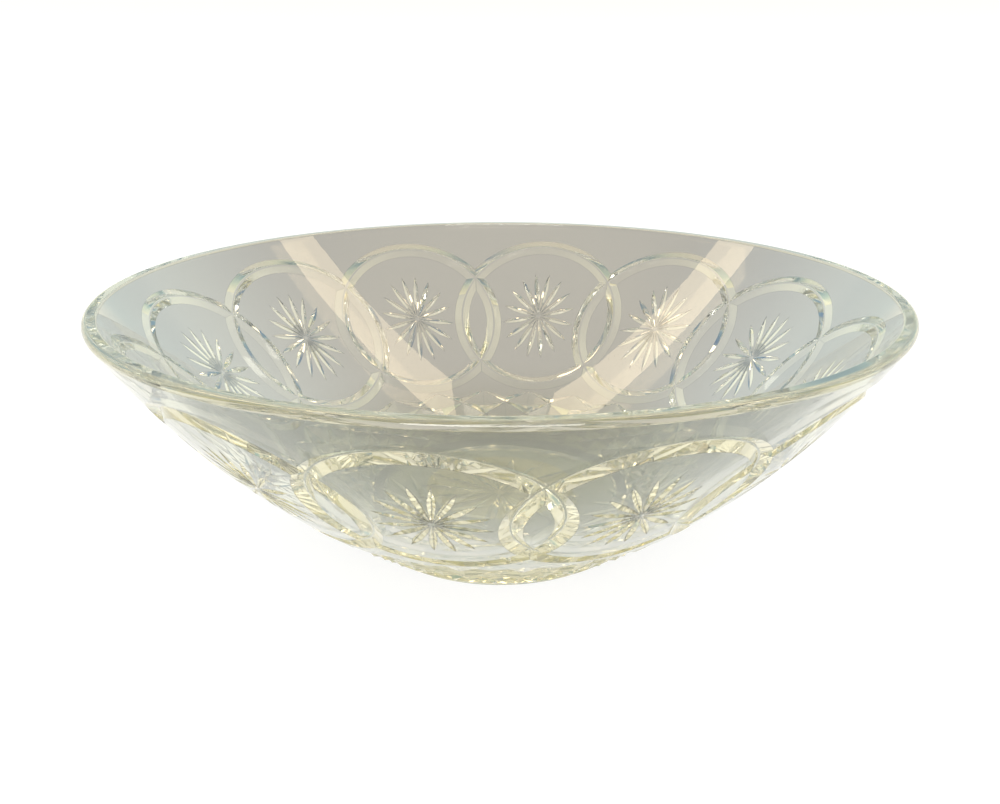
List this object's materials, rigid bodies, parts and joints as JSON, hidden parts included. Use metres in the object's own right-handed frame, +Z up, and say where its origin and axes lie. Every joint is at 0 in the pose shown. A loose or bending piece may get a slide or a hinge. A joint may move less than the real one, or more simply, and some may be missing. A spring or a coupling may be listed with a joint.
{
  "type": "serving bowl",
  "caption": "Wide round serving bowl of thick clear crystal on a flat base, its outside cut with interlaced V-groove rings, ray stars and pointed diamonds.",
  "frame": {"origin": "centre of the flat base, in the plane that the bowl stands on", "axes": "+Z up along the bowl's axis of revolution; +Y through the middle of one of the stars"},
  "size_m": [0.28, 0.28, 0.094],
  "materials": {
    "crystal": "clear lead crystal, polished smooth inside and out, with bright polished cut facets"
  },
  "bodies": {
    "root": {"bowl": "crystal"}
  },
  "joints": []
}
